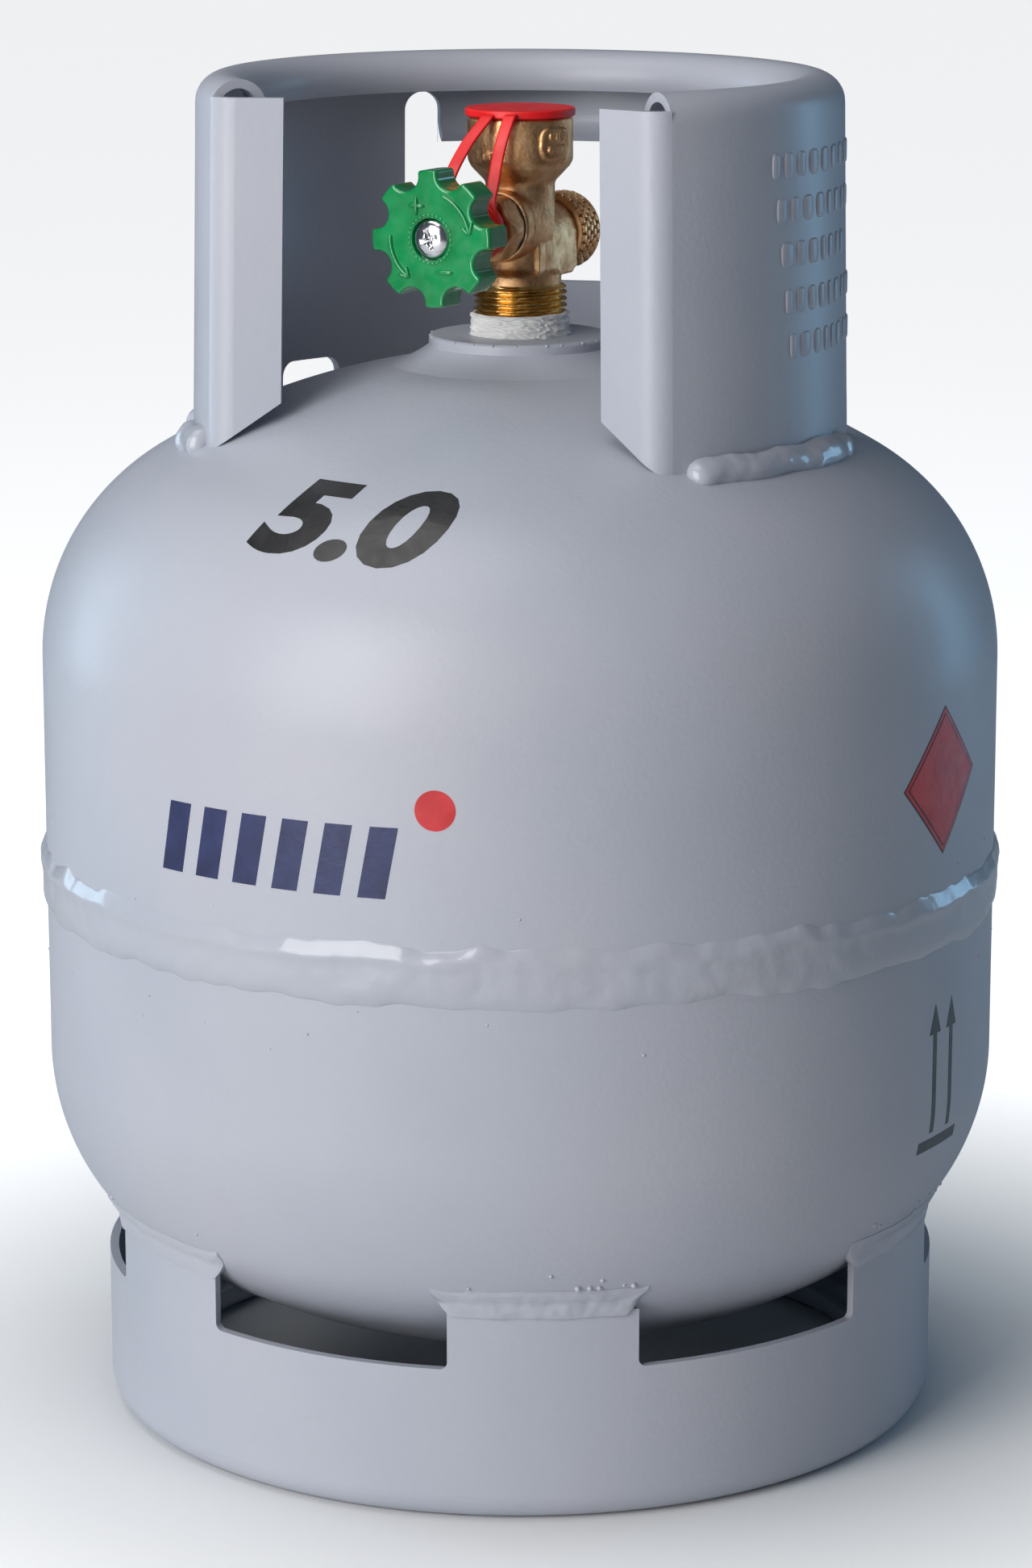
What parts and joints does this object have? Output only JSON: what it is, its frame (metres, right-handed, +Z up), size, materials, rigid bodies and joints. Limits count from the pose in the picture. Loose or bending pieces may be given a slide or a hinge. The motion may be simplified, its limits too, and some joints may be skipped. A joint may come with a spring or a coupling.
{
  "type": "propane tank",
  "caption": "Refillable steel propane tank with a guard collar, a foot ring and a brass cylinder valve with a handwheel, a relief valve and a hinged outlet cap.",
  "frame": {"origin": "centre of the foot ring's standing circle, on the surface that the tank stands on", "axes": "+Z up along the vessel's axis; the front is -Y, and the guard's opening and the handwheel face it, turned towards -X"},
  "size_m": [0.2728, 0.2728, 0.3774],
  "materials": {
    "vessel_paint": "glossy pale blue-grey powder coat with fine orange peel",
    "cast_brass": "dull, sand-cast brass",
    "machined_brass": "bright turned brass",
    "white_tape": "thin white thread tape",
    "seal_rubber": "black nitrile",
    "green_enamel": "glossy green enamel on a die casting",
    "screw_steel": "bright plated steel",
    "spring_steel": "drawn spring wire",
    "red_plastic": "soft red polyethylene"
  },
  "bodies": {
    "cylinder": {"upper_shell": "vessel_paint", "lower_shell": "vessel_paint", "girth_weld": "vessel_paint", "neck_ring": "vessel_paint", "neck_weld": "vessel_paint", "collar": "vessel_paint", "collar_welds": "vessel_paint", "foot_ring": "vessel_paint", "foot_ring_welds": "vessel_paint", "valve_body": "cast_brass", "ptfe_tape": "white_tape", "bonnet": "machined_brass", "bonnet_gasket": "seal_rubber", "relief_cap": "cast_brass", "relief_spring": "spring_steel", "cap_tether": "red_plastic"},
    "wheel": {"stem": "machined_brass", "stem_seals": "seal_rubber", "handwheel": "green_enamel", "screw_washer": "screw_steel", "handwheel_screw": "screw_steel"},
    "plug": {"valve_plug": "machined_brass", "seat_disc": "seal_rubber"},
    "poppet": {"relief_poppet": "machined_brass", "relief_seal": "seal_rubber"},
    "cap": {"outlet_cap": "red_plastic"}
  },
  "joints": [
    {"name": "stem_turn", "type": "hinge", "parent": "cylinder", "child": "wheel", "pos_m": [0, 0, 0.3357], "axis": [-0.5, -0.866, 0], "range_deg": [0, 900]},
    {"name": "plug_travel", "type": "slide", "parent": "wheel", "child": "plug", "axis": [-0.5, -0.866, 0], "range_m": [0, 0.00376]},
    {"name": "relief_lift", "type": "slide", "parent": "cylinder", "child": "poppet", "axis": [0.5, 0.866, 0], "range_m": [0, 0.002], "stiffness_N_per_m": 8000, "springref_m": -0.006, "deforming": ["relief_spring"]},
    {"name": "cap_hinge", "type": "hinge", "parent": "cylinder", "child": "cap", "pos_m": [-0.00596, -0.01474, 0.367], "axis": [0.9272, -0.3746, 0], "range_deg": [0, 120]}
  ],
  "couplings": [
    {"joint": "plug_travel", "follows": "stem_turn", "m_per_rad": 0.00023873}
  ]
}
